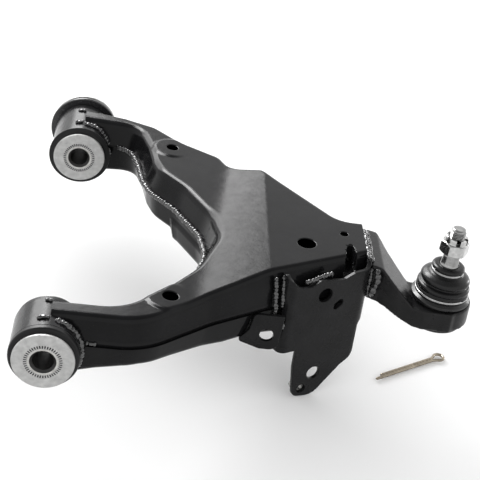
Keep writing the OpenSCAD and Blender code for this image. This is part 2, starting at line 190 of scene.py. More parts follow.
def smooth(value, low, high):
    t = np.clip((value - low) / (high - low), 0, 1)
    return t * t * (3 - 2 * t)


# ---- pieces from points ----
SEGMENTS = 144


def full_turn(count):
    return np.linspace(0, 2 * math.pi, count, endpoint=False)


def around_axis(r, z, turn):
    """Rings of points round Z. r and z hold a row per ring, with one value or one per
    angle of turn."""
    r, z = (np.broadcast_to(v, (len(v), len(turn))) for v in (r, z))
    return np.stack([r * np.cos(turn), r * np.sin(turn), z], -1).reshape(-1, 3)


def ring_faces(rings, around, closed=True):
    """Faces between neighbouring rings of points and, if closed, back to the first."""
    return [
        [i * around + k, i * around + (k + 1) % around,
         (i + 1) % rings * around + (k + 1) % around, (i + 1) % rings * around + k]
        for i in range(rings if closed else rings - 1) for k in range(around)
    ]


def placed(points, place):
    return points @ place[:3, :3].T + place[:3, 3]


def new_object(name, data):
    obj = bpy.data.objects.new(name, data)
    bpy.context.scene.collection.objects.link(obj)
    return obj


def make(name, points, faces, body, material, normals=None, slot=None, replaces=()):
    """A piece from points in millimetres; normals give each point its own shading."""
    mesh = bpy.data.meshes.new(name)
    mesh.from_pydata((np.array(points) * MM).tolist(), [], [list(map(int, f)) for f in faces])
    mesh.polygons.foreach_set("use_smooth", [True] * len(mesh.polygons))
    mesh.update()
    if normals is not None:
        mesh.normals_split_custom_set_from_vertices(np.array(normals, float).tolist())
    obj = new_object(name, mesh)
    mesh.materials.append(material)
    if body:
        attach(obj, body)
    if replaces:
        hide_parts(*replaces)
    return obj


def plate(name, outer, holes, extra, surface, thick, edge, body, material, **more):
    """A sheet with rounded edges. outer and holes are closed loops in the sheet's own
    flat coordinates, extra are points inside, and surface maps flat points to places
    and outward directions."""
    loops = [outer] + [h[::-1] for h in holes]
    inner_rims = [loop + left_normals(loop, True) * edge for loop in loops]
    keep = inside(extra, inner_rims[0])
    for rim in inner_rims[1:]:
        keep &= ~inside(extra, rim)
    near = distance_to(extra, [np.vstack([r, r[:1]]) for r in inner_rims])
    extra = extra[keep & (near > 0.35)]
    flat = np.vstack(inner_rims + [extra])
    edges, start = [], 0
    for rim in inner_rims:
        count = len(rim)
        edges += [(start + k, start + (k + 1) % count) for k in range(count)]
        start += count
    verts, _, tris, origin, _, _ = delaunay_2d_cdt(
        [Vector(p) for p in flat], edges, [], 0, 1e-4
    )
    order = np.full(len(flat), -1)
    for new, olds in enumerate(origin):
        for old in olds:
            order[old] = new
    verts = np.array([tuple(v) for v in verts])
    tris = np.array(tris)
    middles = verts[tris].mean(1)
    keep = inside(middles, inner_rims[0])
    for rim in inner_rims[1:]:
        keep &= ~inside(middles, rim)
    tris = tris[keep]
    a, b, c = (verts[tris[:, k]] for k in range(3))
    area = np.cross(b - a, c - a)
    tris = tris[np.abs(area) > 1e-6]
    area = area[np.abs(area) > 1e-6]
    tris[area < 0] = tris[area < 0][:, ::-1]
    top, normal = surface(verts)
    count = len(verts)
    a, b, c = (top[tris[:, k]] for k in range(3))
    turned_over = (np.cross(b - a, c - a) * normal[tris[:, 0]]).sum() < 0
    points = [top, top - normal * thick]
    normals = [normal, -normal]
    faces = [tris, tris[:, ::-1] + count]
    total = 2 * count
    start = 0
    for loop in loops:
        n = len(loop)
        ring = order[start : start + n]
        place, up = surface(loop)
        ahead = np.roll(place, -1, 0) - np.roll(place, 1, 0)
        side = np.cross(ahead, up) * (-1 if turned_over else 1)
        side /= np.maximum(np.linalg.norm(side, axis=1, keepdims=True), 1e-9)
        points += [place - up * edge, place - up * (thick - edge)]
        normals += [side, side]
        a, b = total, total + n
        for k in range(n):
            j = (k + 1) % n
            faces.append(np.array([
                [a + k, a + j, ring[j], ring[k]],
                [b + k, b + j, a + j, a + k],
                [ring[k] + count, ring[j] + count, b + j, b + k],
            ]))
        total += 2 * n
        start += n
    way = -1 if turned_over else 1
    all_faces = [f[::way] for block in faces for f in block.tolist()]
    return make(name, np.vstack(points), all_faces, body, material, np.vstack(normals), **more)


def profile_arcs(corners, fine=0.35):
    """A closed profile with a small arc at each corner, and its outward normals."""
    count = len(corners)
    points, normals = [], []
    for i in range(count):
        a, b, c = (np.array(corners[k % count][:2], float) for k in (i - 1, i, i + 1))
        radius = corners[i][2] if len(corners[i]) > 2 else fine
        u, v = unit(a - b), unit(c - b)
        reach = min(np.linalg.norm(a - b), np.linalg.norm(c - b)) * 0.45
        half = math.acos(np.clip(u @ v, -1, 1)) / 2
        if half > math.pi / 2 - 0.01:
            way = unit(c - a)
            points.append(b)
            normals.append(np.array([way[1], -way[0]]))
            continue
        radius = min(radius, reach * math.tan(half))
        centre = b + unit(u + v) * radius / math.sin(half)
        start = b + u * radius / math.tan(half) - centre
        turn = 1 if np.cross(b - a, c - b) > 0 else -1
        sweep = math.pi - 2 * half
        steps = max(3, int(sweep / 0.2), int(radius * sweep / 0.8))
        first = math.atan2(start[1], start[0])
        for k in range(steps + 1):
            angle = first + turn * sweep * k / steps
            way = np.array([math.cos(angle), math.sin(angle)])
            points.append(centre + radius * way)
            normals.append(way * turn)
    return np.array(points), np.array(normals)


def turned(name, corners, place, body, material, **more):
    """Turns a profile of (radius, height) round place's own Z. The profile runs
    anticlockwise, with radius across and height up."""
    line, out = profile_arcs(corners)
    turn = full_turn(SEGMENTS)
    points = placed(around_axis(line[:, :1], line[:, 1:], turn), place)
    normals = around_axis(out[:, :1], out[:, 1:], turn) @ place[:3, :3].T
    return make(name, points, ring_faces(len(line), SEGMENTS), body, material, normals, **more)


def frame_at(origin, tilt=None):
    m = np.eye(4)
    if tilt is not None:
        m[:3, :3] = tilt
    m[:3, 3] = origin
    return m


lean_c, lean_s = math.cos(STUD_LEAN), math.sin(STUD_LEAN)
BALL_FRAME = frame_at(
    BALL_AT, np.array([[lean_c, 0, lean_s], [0, 1, 0], [-lean_s, 0, lean_c]])
)


def facing_front(y):
    """A frame on the pivot axis whose heights run toward the front."""
    return frame_at((0, y, 0), np.array([[1.0, 0, 0], [0, 0, -1.0], [0, 1.0, 0]]))


def facing_rear(y):
    """A frame on the pivot axis whose heights run toward the rear."""
    return frame_at((0, y, 0), np.array([[1.0, 0, 0], [0, 0, 1.0], [0, -1.0, 0]]))


# ---- materials ----
def put(tree, kind, **values):
    node = tree.nodes.new(kind)
    for key, value in values.items():
        if key in node.inputs:
            node.inputs[key].default_value = value
        else:
            setattr(node, key, value)
    return node


def finish_of(
    name, base, rough, metal=0.0, specular=0.5, coat=0.0, coat_rough=0.1,
    mottle=(60, 0.25), rough_spread=0.06, grain=((900, 0.12),), stretch=(1, 1, 1),
    dust=0.0, dust_colour=(0.3, 0.29, 0.27),
):
    """A node-built finish: mottled colour, uneven roughness and layers of fine bump."""
    material = bpy.data.materials.new(name)
    material.use_nodes = True
    tree = material.node_tree
    shader = tree.nodes["Principled BSDF"]
    shader.inputs["Metallic"].default_value = metal
    shader.inputs["Specular IOR Level"].default_value = specular
    shader.inputs["Coat Weight"].default_value = coat
    shader.inputs["Coat Roughness"].default_value = coat_rough
    where = put(tree, "ShaderNodeTexCoord")
    mapping = put(tree, "ShaderNodeMapping", Scale=stretch)
    tree.links.new(where.outputs["Object"], mapping.inputs["Vector"])
    spot = mapping.outputs["Vector"]

    def field(scale, detail=4.0, roughness=0.55):
        node = put(tree, "ShaderNodeTexNoise", Scale=scale, Detail=detail, Roughness=roughness)
        tree.links.new(spot, node.inputs["Vector"])
        return node.outputs["Fac"]

    cloud = field(mottle[0])
    ramp = put(tree, "ShaderNodeValToRGB")
    dark = [c * (1 - mottle[1]) for c in base] + [1]
    light = [min(1, c * (1 + mottle[1])) for c in base] + [1]
    ramp.color_ramp.elements[0].position = 0.32
    ramp.color_ramp.elements[1].position = 0.68
    ramp.color_ramp.elements[0].color = dark
    ramp.color_ramp.elements[1].color = light
    tree.links.new(cloud, ramp.inputs["Fac"])
    colour = ramp.outputs["Color"]
    if dust > 0:
        speck = put(tree, "ShaderNodeMapRange")
        for key, value in (("From Min", 0.62), ("From Max", 0.74), ("To Max", dust)):
            speck.inputs[key].default_value = value
        tree.links.new(field(420, 6.0, 0.7), speck.inputs["Value"])
        mix = put(tree, "ShaderNodeMix", data_type="RGBA")
        mix.inputs[7].default_value = (*dust_colour, 1)
        tree.links.new(speck.outputs["Result"], mix.inputs[0])
        tree.links.new(colour, mix.inputs[6])
        colour = mix.outputs[2]
    tree.links.new(colour, shader.inputs["Base Color"])
    spread = put(tree, "ShaderNodeMapRange")
    for key, value in (
        ("From Min", 0.3), ("From Max", 0.7),
        ("To Min", max(0.02, rough - rough_spread)), ("To Max", rough + rough_spread),
    ):
        spread.inputs[key].default_value = value
    tree.links.new(field(mottle[0] * 2.3, 5.0, 0.6), spread.inputs["Value"])
    tree.links.new(spread.outputs["Result"], shader.inputs["Roughness"])
    previous = None
    for scale, strength in grain:
        bump = put(tree, "ShaderNodeBump", Strength=strength, Distance=0.25 / scale)
        tree.links.new(field(scale, 3.0), bump.inputs["Height"])
        if previous is not None:
            tree.links.new(previous.outputs["Normal"], bump.inputs["Normal"])
        previous = bump
    if previous is not None:
        tree.links.new(previous.outputs["Normal"], shader.inputs["Normal"])
        if coat > 0:
            tree.links.new(previous.outputs["Normal"], shader.inputs["Coat Normal"])
    return material


PAINT = (0.005, 0.005, 0.0054)
arm_paint = finish_of(
    "arm_paint", PAINT, 0.16, specular=0.12, mottle=(35, 0.2), rough_spread=0.05,
    grain=((130, 0.05), (1400, 0.08)), dust=0.05,
)
tube_paint = finish_of(
    "tube_paint", PAINT, 0.2, specular=0.2, mottle=(50, 0.2), grain=((160, 0.06), (1500, 0.06)),
)
bracket_paint = finish_of(
    "bracket_paint", (0.008, 0.008, 0.0084), 0.26, specular=0.14, mottle=(45, 0.25),
    grain=((180, 0.08), (1300, 0.08)), dust=0.05,
)
forging_paint = finish_of(
    "forging_paint", (0.006, 0.006, 0.0063), 0.3, specular=0.2, mottle=(70, 0.3),
    grain=((300, 0.15), (1200, 0.12)), dust=0.05,
)
weld_paint = finish_of(
    "weld_paint", (0.012, 0.012, 0.0125), 0.12, specular=0.9, mottle=(150, 0.3),
    grain=((350, 0.25), (900, 0.12)),
)
housing_paint = finish_of(
    "housing_paint", (0.008, 0.008, 0.0085), 0.24, specular=0.35, mottle=(80, 0.3),
    grain=((900, 0.1),),
)
outer_sleeve_steel = finish_of(
    "outer_sleeve_steel", (0.016, 0.016, 0.017), 0.25, specular=0.5, mottle=(120, 0.3),
    grain=((1200, 0.1),),
)
bushing_rubber = finish_of(
    "bushing_rubber", (0.005, 0.005, 0.0053), 0.36, specular=0.2, mottle=(90, 0.3),
    grain=((700, 0.15), (2200, 0.15)), dust=0.06,
)
boot_rubber = finish_of(
    "boot_rubber", (0.006, 0.006, 0.0063), 0.26, specular=0.22, mottle=(90, 0.3),
    grain=((600, 0.1), (2500, 0.12)), dust=0.05,
)
sleeve_steel = finish_of(
    "sleeve_steel", (0.46, 0.455, 0.44), 0.34, metal=1.0, mottle=(200, 0.2),
    grain=((1500, 0.2),), stretch=(1, 0.15, 1),
)
washer_zinc = finish_of(
    "washer_zinc", (0.4, 0.4, 0.395), 0.5, metal=0.6, mottle=(160, 0.16), rough_spread=0.1,
    grain=((500, 0.15), (2000, 0.25)), dust=0.12, dust_colour=(0.32, 0.32, 0.31),
)
nut_steel = finish_of("nut_steel", (0.3, 0.3, 0.29), 0.4, metal=1.0, grain=((900, 0.2),))
liner_plastic = finish_of("liner_plastic", (0.75, 0.73, 0.66), 0.45, grain=((800, 0.1),))
clip_steel = finish_of(
    "clip_steel", (0.42, 0.42, 0.42), 0.3, metal=1.0, mottle=(200, 0.2), grain=((1500, 0.1),)
)
stud_zinc = finish_of(
    "stud_zinc", (0.27, 0.27, 0.267), 0.2, metal=1.0, mottle=(260, 0.2), rough_spread=0.08,
    grain=((900, 0.12), (2500, 0.12)),
)
nut_zinc = finish_of(
    "nut_zinc", (0.46, 0.46, 0.455), 0.16, metal=1.0, mottle=(300, 0.2), rough_spread=0.1,
    grain=((700, 0.15), (2200, 0.12)),
)
pin_steel = finish_of(
    "pin_steel", (0.27, 0.235, 0.185), 0.26, metal=1.0, mottle=(90, 0.2), rough_spread=0.06,
    grain=((900, 0.06), (2600, 0.06)),
)

# ---- camera and light ----
view_right = Vector((0.99129386, -0.01745241, 0.13050631))
view_up = Vector((-0.10354139, 0.50896389, 0.85453785))
view_back = Vector((-0.08133674, -0.86061093, 0.50272573))
camera_data = bpy.data.cameras.new("camera")
camera_data.lens = 105.15
camera_data.sensor_width = 36
camera_data.clip_start = 0.05
camera_data.clip_end = 50
camera = new_object("camera", camera_data)
camera.matrix_world = Matrix.Translation((0.055968, -0.963, 0.678107)) @ Matrix(
    (view_right, view_up, view_back)
).transposed().to_4x4()
bpy.context.scene.camera = camera
bpy.context.scene.view_settings.view_transform = "Standard"

MIDDLE = Vector((0.17, 0.17, 0.0))


def softbox(name, direction, distance, size, power):
    data = bpy.data.lights.new(name, "AREA")
    data.shape = "RECTANGLE"
    data.size, data.size_y = size
    data.energy = power
    light = new_object(name, data)
    way = Vector(direction).normalized()
    light.location = MIDDLE + way * distance
    light.rotation_mode = "QUATERNION"
    light.rotation_quaternion = way.to_track_quat("Z", "Y")
    return light


softbox("back_left_light", (-0.52, 0.94, 0.58), 2.2, (1.7, 0.85), 27)
softbox("right_glint", (0.80, 0.56, 0.10), 2.2, (0.30, 0.30), 7)

# a bright room whose ceiling is dimmer than its walls
world = bpy.data.worlds.new("world")
bpy.context.scene.world = world
world.use_nodes = True
room = world.node_tree
look = put(room, "ShaderNodeTexCoord")
parts = put(room, "ShaderNodeSeparateXYZ")
room.links.new(look.outputs["Generated"], parts.inputs[0])
ceiling = put(room, "ShaderNodeMapRange", interpolation_type="SMOOTHSTEP")
for key, value in (("From Min", 0.60), ("From Max", 0.86), ("To Min", 1.4), ("To Max", 0.5)):
    ceiling.inputs[key].default_value = value
room.links.new(parts.outputs["Z"], ceiling.inputs["Value"])
room.links.new(ceiling.outputs["Result"], room.nodes["Background"].inputs["Strength"])
room.nodes["Background"].inputs["Color"].default_value = (1, 1, 1, 1)

FLOOR_HALF = 6
floor_z = cad_box[0][2] - 0.0004
floor_corners = [(-1, -1), (1, -1), (1, 1), (-1, 1)]
floor_mesh = bpy.data.meshes.new("floor")
floor_mesh.from_pydata(
    [(x * FLOOR_HALF, y * FLOOR_HALF, floor_z) for x, y in floor_corners], [], [(0, 1, 2, 3)]
)
floor_obj = new_object("floor", floor_mesh)
floor_paper = finish_of(
    "floor_paper", (0.97, 0.97, 0.97), 0.8, specular=0.1, mottle=(3, 0.01), grain=((40, 0.02),)
)
floor_mesh.materials.append(floor_paper)
# the rim light is flagged off the floor, which is bright enough already
rim_light = softbox("rim_light", (-0.364, 0.561, 0.743), 2.2, (1.0, 0.75), 60)
flagged = bpy.data.collections.new("flagged_off")
flagged.objects.link(floor_obj)
rim_light.light_linking.receiver_collection = flagged
flagged.collection_objects[0].light_linking.link_state = "EXCLUDE"


# ---- pressed shells ----
def arm_chains():
    """The outline's three open sides: front, rear outer and inner."""
    marks = [i for i, c in enumerate(OUTLINE) if c[2] == 0]
    line = rounded(OUTLINE, 2.0)
    spots = [
        int(np.argmin(((line - np.array(OUTLINE[i][:2])) ** 2).sum(1))) for i in marks
    ]
    front = line[spots[0] : spots[1] + 1]
    rear = line[spots[2] : spots[3] + 1]
    inner = line[spots[4] : spots[5] + 1]
    return [resample(c, 2.0) for c in (front, rear, inner)]


CHAINS = arm_chains()
LEG_END = 2.0


def clipped(line, low, high):
    """The part of an open line between two values of x, with its ends cut exactly."""
    out = []
    for a, b in zip(line[:-1], line[1:]):
        for limit in sorted((low, high), reverse=bool(b[0] < a[0])):
            if (a[0] - limit) * (b[0] - limit) < 0:
                out.append(a + (b - a) * (limit - a[0]) / (b[0] - a[0]))
        if low < b[0] < high:
            out.append(b)
    return np.array(out)


def offset_line(line, by):
    return line + left_normals(line, False) * by


def arm_loop(inset):
    front, rear, inner = (clipped(offset_line(c, inset), LEG_END, SHELL_END) for c in CHAINS)
    return resample(np.vstack([front, rear, inner]), EDGE_STEP, closed=True)


def fillet_wall(depth, top, lean, radius):
    """Height over the seam, depth inward from the edge, of a leaning wall that turns
    into a flat top on an arc."""
    slope = math.tan(lean)
    centre = top - radius
    reach = centre * slope + radius / math.cos(lean)
    on_wall = reach - radius * math.cos(lean)
    arc = centre + np.sqrt(np.maximum(radius**2 - (reach - depth) ** 2, 0))
    wall = depth / slope
    return np.where(depth >= reach, top, np.where(depth <= on_wall, wall, arc))


# the deck's holes as x, y, radius, and the raised pads round the first two
HOLES = [(99, 34.7, 6.9), (94, 311, 5.7), (220.5, 133, 8.4), (257, 157, 3.6)]
PAD_REACH = (21, 19)
PAD_RISE = 1.3
# the pocket in the deck's front corner: its corners, depth and how steep its sides are
POCKET_DEPTH = 17
POCKET_SLOPE = 26
POCKET = [
    (260.5, 147, 2), (256, 114, 3), (244, 99, 3), (236, 84, 0), (290, 90, 0),
    (270, 107, 2), (265, 125.5, 2),
]
POCKET_LOOP = resample(rounded(POCKET, 1.0), 2.0, closed=True)
# the line where the deck starts to rise, as two points (x, y), and the x where it ends
RISE_START = ((120, 32), (148, 291))
RISE_END = 187
# how far the shells' side walls lean, the lower shell's edge radius, and how far its edge
# lies inside the upper shell's
UPPER_LEAN = math.radians(15)
LOWER_LEAN = math.radians(8)
LOWER_RADIUS = 6.0
SHELL_STEP = 2.0
# the soft dip round each hole: depth and width
DIP, DIP_WIDTH = 0.8, 1.6
# the floor is deep between these two ranges of y, and shallow beyond them
DEEP_START = (62, 100)
DEEP_END = (235.5, 241)
# outboard the floor rises: where it starts, over what length and how much
END_START, END_LENGTH, END_LIFT = 205, 85, 25
# the height of each leg's lower edge, as (x, z) along the leg, and the y where the front
# leg's gives way to the rear leg's
FRONT_LEG_EDGE = [
    (28, -27), (42, -22.5), (62, -18), (78, -16.5), (105, -18.5), (150, -24.5), (180, -25),
]
REAR_LEG_EDGE = [(28, -24), (55, LEG_BOTTOM)]
LEG_CHANGE = (55, 95)
# the bulge below the rear leg's inner seam: how far out, and the ranges of y it grows
# and ends over; the groove below the front seam: how deep, and how wide
BULGE = 2.2
BULGE_START = (150, 175)
BULGE_END = (235, 239)
GROOVE, GROOVE_WIDTH = 2.6, 2.6
# spacing of points along the sheets' edges
EDGE_STEP = 2.4


def hinge_of(value, start, soft):
    """A ramp that starts at zero where value passes start, rounded over soft."""
    t = value - start
    return np.where(t < -soft, 0, np.where(t > soft, t, (t + soft) ** 2 / (4 * soft)))


def top_height(p):
    """Height of the upper shell's top face, with its rise and pressed steps."""
    x, y = p[:, 0], p[:, 1]
    (x0, y0), (x1, y1) = RISE_START
    rise_start = x0 + (x1 - x0) * np.clip((y - y0) / (y1 - y0), -0.2, 1.3)
    rise = hinge_of(x, rise_start, 9) - hinge_of(x, RISE_END, 1.6)
    z = LEG_TOP + (DECK_TOP - LEG_TOP) * np.clip(rise / (RISE_END - rise_start), 0, 1)
    for (hx, hy, _), reach in zip(HOLES[:2], PAD_REACH):
        on_pad = 1 - smooth(np.hypot(x - hx, y - hy), reach - 2.6, reach + 2.6)
        z = z + PAD_RISE * on_pad * (1 - smooth(x, hx - 4, hx + 16))
    return z


def depth_in(p):
    """Distance inward from the outline, and how much the inner side counts."""
    front, rear, inner = (distance_to(p, [c]) for c in CHAINS)
    inner_side = smooth(np.minimum(front, rear) - inner, -6, 6)
    return np.minimum(np.minimum(front, rear), inner), inner_side


def pocket_drop(p):
    """Highest the sheet may be: low inside the deck's corner pocket, free outside."""
    away = distance_to(p, [np.vstack([POCKET_LOOP, POCKET_LOOP[:1]])])
    away = np.where(inside(p, POCKET_LOOP), 0, away)
    return DECK_TOP - POCKET_DEPTH + POCKET_SLOPE * away


def upper_point(p):
    """The upper shell's outside: walls with a small lip at the seam, flared along the
    rear leg's inner side, and a soft dip round each hole."""
    depth, inner_side = depth_in(p)
    flared = inner_side * smooth(p[:, 1], 90, 150)
    lip = smooth(depth, 0.5, 5) - np.exp(-((depth - 0.9) / 0.7) ** 2)
    depth = depth + 1.2 * (1 - flared) * lip - 2.0 * flared * (1 - np.exp(-depth / 2.0))
    radius = 5.5 + 2.5 * flared
    z = SEAM_Z + fillet_wall(depth, top_height(p) - SEAM_Z, UPPER_LEAN, radius)
    for hx, hy, r in HOLES:
        away = np.hypot(p[:, 0] - hx, p[:, 1] - hy) - r
        z = z - DIP * (1 - np.sqrt(1 - (1 - np.clip(away / DIP_WIDTH, 0, 1)) ** 2))
    return np.column_stack([p, np.minimum(z, pocket_drop(p))])


def floor_height(p):
    """Height of the lower shell's floor: shallow legs, a deep middle and a rising end."""
    x, y = p[:, 0], p[:, 1]
    deep = smooth(y, *DEEP_START) * (1 - smooth(y, *DEEP_END))
    front_leg = np.interp(x, *zip(*FRONT_LEG_EDGE))
    rear_leg = np.interp(x, *zip(*REAR_LEG_EDGE))
    leg = rear_leg + (front_leg - rear_leg) * (1 - smooth(y, *LEG_CHANGE))
    across = leg + (DECK_BOTTOM - leg) * deep
    end = DECK_BOTTOM - 1 + END_LIFT * np.clip((x - END_START) / END_LENGTH, -1, 1.2)
    high = np.maximum(across, end)
    blend = np.clip(1 - np.abs(across - end) / 4, 0, 1)
    return high + 0.8 * blend**2


def away_from(p, chains):
    """Unit steps from p toward the nearest edge of some chains."""
    step = 0.3
    return np.column_stack([
        distance_to(p - way, chains) - distance_to(p + way, chains)
        for way in ([step, 0], [0, step])
    ]) / (2 * step)


def lower_point(p):
    """The lower shell's outside, with a bulge under the inner seam and a groove below
    the front one."""
    depth = np.maximum(depth_in(p)[0] - SHELL_STEP, 0)
    z = SEAM_Z - fillet_wall(depth, SEAM_Z - floor_height(p), LOWER_LEAN, LOWER_RADIUS)
    inner = distance_to(p, CHAINS[2:])
    out = away_from(p, CHAINS[2:])
    bulge = (
        BULGE * (1 - smooth(inner, 7, 11)) * (1 - smooth(z, -9.5, -4.5))
        * (1 - smooth(p[:, 1], *BULGE_END)) * smooth(p[:, 1], *BULGE_START)
    )
    at_front = distance_to(p, CHAINS[:1]) < inner
    groove = GROOVE * np.exp(-((SEAM_Z - z) / GROOVE_WIDTH) ** 2) * at_front
    moved = p + out * bulge[:, None] - away_from(p, CHAINS[:1]) * groove[:, None]
    return np.column_stack([moved, z])


def shell_surface(point, sign):
    """For plate: places from point, and their outward directions."""
    def surface(p):
        step = 0.1
        across = point(p + [step, 0]) - point(p - [step, 0])
        along = point(p + [0, step]) - point(p - [0, step])
        normal = np.cross(across, along)
        normal /= np.maximum(np.linalg.norm(normal, axis=1, keepdims=True), 1e-12)
        return point(p), normal * sign

    return surface


def shell_grid(rings, spacing, loops):
    """Points along lines parallel to the edge, then a plain grid over the middle, with
    rings of points round each hole."""
    points = []
    for inset in rings:
        for chain in CHAINS:
            line = resample(offset_line(chain, inset), EDGE_STEP)
            line = line[(line[:, 0] > LEG_END + 1) & (line[:, 0] < SHELL_END - 1)]
            line = line[distance_to(line, CHAINS) > inset - 0.1]
            points.append(line)
    xs = np.arange(LEG_END + 2, SHELL_END - 1.2, spacing)
    ys = np.arange(-8, 386, spacing)
    gx, gy = np.meshgrid(xs, ys)
    gx = gx + spacing / 2 * (np.arange(len(ys))[:, None] % 2)
    grid = np.column_stack([gx.ravel(), gy.ravel()])
    grid = grid[distance_to(grid, CHAINS) > rings[-1] + 1.2]
    grid = grid[inside(grid, arm_loop(0.5))]
    for x, y, r in loops:
        away = np.hypot(grid[:, 0] - x, grid[:, 1] - y)
        grid = grid[away > r + 2.6]
        points += [circle(x, y, r + g, 1.2) for g in (0.5, 1.0, 1.7, 2.5)]
    points.append(grid)
    return np.vstack(points)


def keep_out_of_tubes(obj):
    """Moves what would lie inside a pivot tube into the tube's own wall."""
    mesh = obj.data
    co = np.zeros(len(mesh.vertices) * 3)
    mesh.vertices.foreach_get("co", co)
    co = co.reshape(-1, 3) / MM
    radius = np.hypot(co[:, 0], co[:, 2])
    wanted = TUBE_R - 0.9
    near = radius < wanted
    scale = wanted / np.maximum(radius[near], 1e-6)
    co[near, 0] *= scale
    co[near, 2] *= scale
    mesh.vertices.foreach_set("co", (co * MM).ravel())
    mesh.update()


wall_rings = [
    0.8, 1.8, 2.8, 3.8, 4.8, 5.6, 6.4, 7.2, 8.0, 8.8, 9.7, 10.6, 11.6, 12.8, 14.2, 15.8,
]
pad_points = np.vstack([
    circle(hx, hy, reach + by, 1.6) for (hx, hy, _), reach in zip(HOLES[:2], PAD_REACH)
    for by in (-2.4, -1.2, 0, 1.2, 2.4)
])
pad_points = pad_points[distance_to(pad_points, CHAINS) > 17.0]
pocket_points = np.vstack(
    [POCKET_LOOP + left_normals(POCKET_LOOP, True) * by for by in (-0.15, -0.6, 0.25, 0.8)]
)
pocket_points = pocket_points[distance_to(pocket_points, CHAINS) > 0.5]
pocket_points = pocket_points[inside(pocket_points, arm_loop(0.6))]
upper_loops = [circle(x, y, r) for x, y, r in HOLES]
upper = plate(
    "upper_shell_pressed", arm_loop(0), upper_loops,
    np.vstack([shell_grid(wall_rings, 2.6, HOLES), pad_points, pocket_points]),
    shell_surface(upper_point, 1), SHEET, 0.4, "arm", arm_paint,
    slot="arm_paint", replaces=["upper_shell"],
)
keep_out_of_tubes(upper)
lower_rings = [
    2.12, 2.22, 2.34, 2.5, 2.9, 3.3, 3.7, 4.1, 4.5, 4.9, 5.4, 5.9, 6.5, 7.2, 8.0, 9.0, 10.2,
    11.6, 13.2,
]
lower = plate(
    "lower_shell_pressed", arm_loop(SHELL_STEP), [], shell_grid(lower_rings, 3.5, []),
    shell_surface(lower_point, -1), SHEET, 0.4, "arm", arm_paint,
    slot="arm_paint", replaces=["lower_shell"],
)
keep_out_of_tubes(lower)


# ---- tubes, sleeves and washers ----
TUBE_WALL = 2.5
OUTER_SLEEVE_WALL = 1.5


def tube_piece(side):
    """The welded tube at a leg's end."""
    low, high = box_mm(side + "_tube_ring")
    outer = high[2]
    inner = outer - TUBE_WALL
    middle, half = middle_and_half(low, high)
    return turned(
        side + "_tube", [(inner, -half), (outer, -half, 0.9), (outer, half, 0.9), (inner, half)],
        facing_rear(middle), "arm", tube_paint,
        slot="tube_paint", replaces=[side + "_tube_ring"],
    )


tube_piece("front")
tube_piece("rear")


def outer_sleeve_piece(side):
    """The bushing's outer sleeve; the rear one has a large flange."""
    node = side + "_outer_sleeve"
    low, high = box_mm(node)
    middle, half = middle_and_half(low, high)
    r = TUBE_R - TUBE_WALL
    bore = r - OUTER_SLEEVE_WALL
    corners = [(bore, -half), (r, -half), (r, half), (bore, half)]
    if side == "rear":
        flange = [(r, half - 4), (high[2], half - 4, 1.2), (high[2], half, 1.6)]
        corners = corners[:2] + flange + corners[3:]
    return turned(
        node + "_rolled", corners, facing_rear(middle), "arm", outer_sleeve_steel,
        slot="outer_sleeve_steel", replaces=[node],
    )


outer_sleeve_piece("front")
outer_sleeve_piece("rear")


def rubber_piece(side, lip_front, lip_back):
    """The moulded rubber, with a lip over the sleeve at each end."""
    node = side + "_rubber"
    low, high = box_mm(node)
    around_low, around_high = box_mm(side + "_outer_sleeve")
    middle = (low[1] + high[1]) / 2
    front, back = low[1] - middle, high[1] - middle
    start, end = around_low[1] - middle, around_high[1] - middle
    r = TUBE_R - TUBE_WALL - OUTER_SLEEVE_WALL
    bore = SLEEVE_R + 0.05
    corners = [
        (bore, front), (lip_front - 5.5, front, 1.0), (lip_front - 4.2, front + 1.3, 1.2),
        (lip_front, front + 2.6, 2.2), (lip_front, start, 0.6), (r, start),
        (r, end), (lip_back, end, 0.6), (lip_back, back - 2.5, 2.0),
        (lip_back - 4.2, back - 1.2, 1.2), (lip_back - 5.5, back, 1.0), (bore, back),
    ]
    return turned(
        node + "_moulded", corners, facing_rear(middle), "arm", bushing_rubber,
        slot="bushing_rubber", replaces=[node],
    )


rubber_piece("front", 29.8, 28.5)
rubber_piece("rear", 31.4, 33.8)


SLEEVE_BORE = 9.0
# painted shade: a near-black material that stands in for the unlit inside of the sleeve bores
bore_painted_shade = finish_of(
    "bore_painted_shade", (0.012, 0.0115, 0.011), 0.5, metal=0.2, mottle=(140, 0.4), grain=((600, 0.3),)
)


def sleeve_piece(side):
    """An inner sleeve: pale end faces and outer bevels; the bore and inner bevels are near-black,
    painted shade of the deep hole.
    """
    node = side + "_inner_sleeve"
    low, high = box_mm(node)
    middle, half = middle_and_half(low, high)
    bore, bevel = SLEEVE_BORE, 2.3
    obj = turned(
        node + "_turned",
        [
            (bore, -half + bevel, 0.6), (bore + bevel, -half, 0.5), (SLEEVE_R, -half, 0.3),
            (SLEEVE_R, half, 0.3), (bore + bevel, half, 0.5), (bore, half - bevel, 0.6),
        ],
        facing_rear(middle), side + "_sleeve", sleeve_steel,
        slot="sleeve_steel", replaces=[node],
    )
    # painted shade: faces near the bore take the near-black material, darkening the hole's mouth
    # and inside
    obj.data.materials.append(bore_painted_shade)
    for face in obj.data.polygons:
        x, _, z = face.center / MM
        if math.hypot(x, z) < bore + 1.75:
            face.material_index = 1


sleeve_piece("front")
sleeve_piece("rear")

TEETH = 44
bite_shadow = finish_of(
    "bite_shadow", (0.03, 0.03, 0.03), 0.6, metal=0.5, mottle=(300, 0.3), grain=((900, 0.3),)
)


